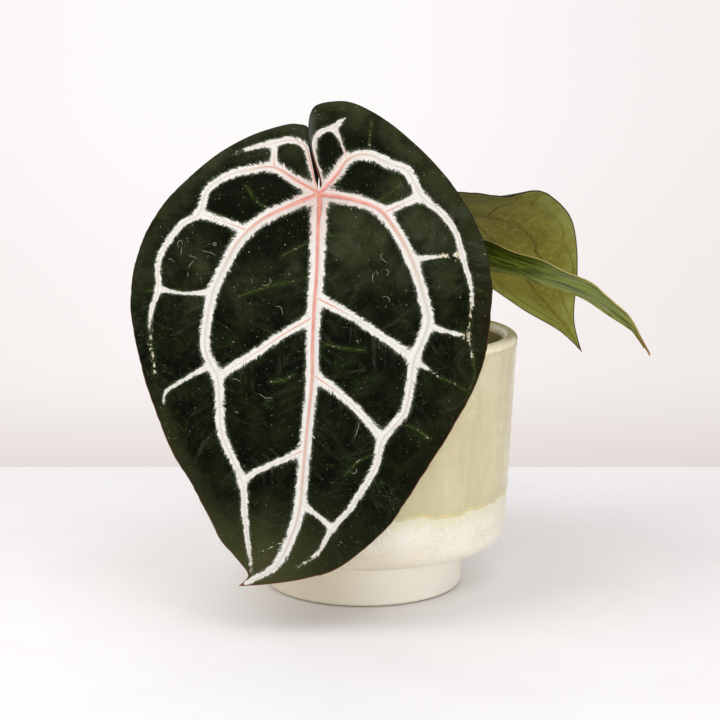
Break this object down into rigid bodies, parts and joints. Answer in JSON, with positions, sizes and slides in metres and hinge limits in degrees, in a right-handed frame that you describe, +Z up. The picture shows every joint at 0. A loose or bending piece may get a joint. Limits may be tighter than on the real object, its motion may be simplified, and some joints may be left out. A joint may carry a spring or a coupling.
{
  "type": "potted anthurium",
  "caption": "Small foliage plant with three heart-shaped, white-veined leaves in a glazed stoneware pot on a stepped foot.",
  "frame": {"origin": "centre of the pot's flat foot, on the surface it stands on", "axes": "+Z up along the pot's axis, -Y out of the large leaf's face, +X towards the narrow side leaf"},
  "size_m": [0.2135, 0.1788, 0.2133],
  "materials": {
    "glaze": "glossy celadon glaze over cream stoneware",
    "mix": "rough bark chips with perlite",
    "crown": "dry, fibrous",
    "root": "matt, corky",
    "stalk": "smooth, waxy",
    "velvet_leaf": "velvety, slight sheen",
    "pale_net": "matt, crystalline",
    "olive_leaf": "satin",
    "green_leaf": "satin, slight sheen"
  },
  "bodies": {
    "root": {"pot": "glaze", "potting_mix": "mix", "crown": "crown", "root_left": "root", "root_back": "root", "root_right": "root", "big_stalk": "stalk", "back_stalk": "stalk", "side_stalk": "stalk", "big_blade": "velvet_leaf", "big_net": "pale_net", "back_blade": "olive_leaf", "back_net": "pale_net", "side_blade": "green_leaf"}
  },
  "joints": []
}
